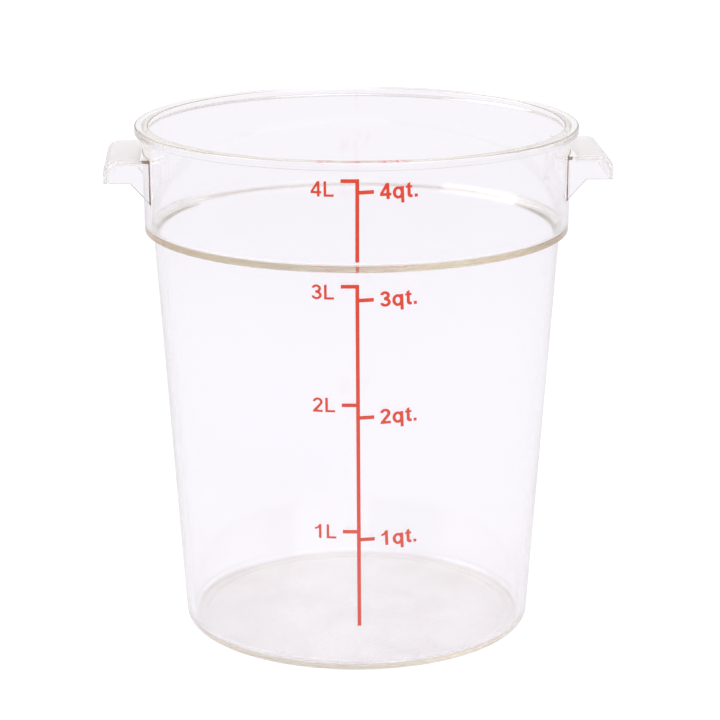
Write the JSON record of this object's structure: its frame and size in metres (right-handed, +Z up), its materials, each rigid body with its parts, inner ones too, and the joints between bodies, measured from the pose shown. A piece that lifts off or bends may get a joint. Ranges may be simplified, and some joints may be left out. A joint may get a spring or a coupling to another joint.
{
  "type": "food storage container",
  "caption": "Round clear food storage container with a tapered wall, a stepped collar, a thick rim, hollow side handles and a printed litre and quart scale.",
  "frame": {"origin": "middle of the foot, on the surface that the container stands on", "axes": "+Z up along the tub's axis, the handles along +X and -X, the printed scale towards -Y"},
  "size_m": [0.208, 0.1836, 0.2145],
  "materials": {
    "clear_polycarbonate": "clear moulded polycarbonate, polished, with a very faint lavender cast",
    "orange_red_ink": "screen-printed orange-red ink, satin"
  },
  "bodies": {
    "root": {"container_body": "clear_polycarbonate", "scale_line_upper": "orange_red_ink", "scale_line_lower": "orange_red_ink", "litre_4_numeral": "orange_red_ink", "litre_4_letter_l": "orange_red_ink", "litre_3_numeral": "orange_red_ink", "litre_3_letter_l": "orange_red_ink", "litre_2_numeral": "orange_red_ink", "litre_2_letter_l": "orange_red_ink", "litre_1_numeral": "orange_red_ink", "litre_1_letter_l": "orange_red_ink", "quart_4_numeral": "orange_red_ink", "quart_4_letter_q": "orange_red_ink", "quart_4_letter_t": "orange_red_ink", "quart_4_stop": "orange_red_ink", "quart_3_numeral": "orange_red_ink", "quart_3_letter_q": "orange_red_ink", "quart_3_letter_t": "orange_red_ink", "quart_3_stop": "orange_red_ink", "quart_2_numeral": "orange_red_ink", "quart_2_letter_q": "orange_red_ink", "quart_2_letter_t": "orange_red_ink", "quart_2_stop": "orange_red_ink", "quart_1_numeral": "orange_red_ink", "quart_1_letter_q": "orange_red_ink", "quart_1_letter_t": "orange_red_ink", "quart_1_stop": "orange_red_ink"}
  },
  "joints": []
}
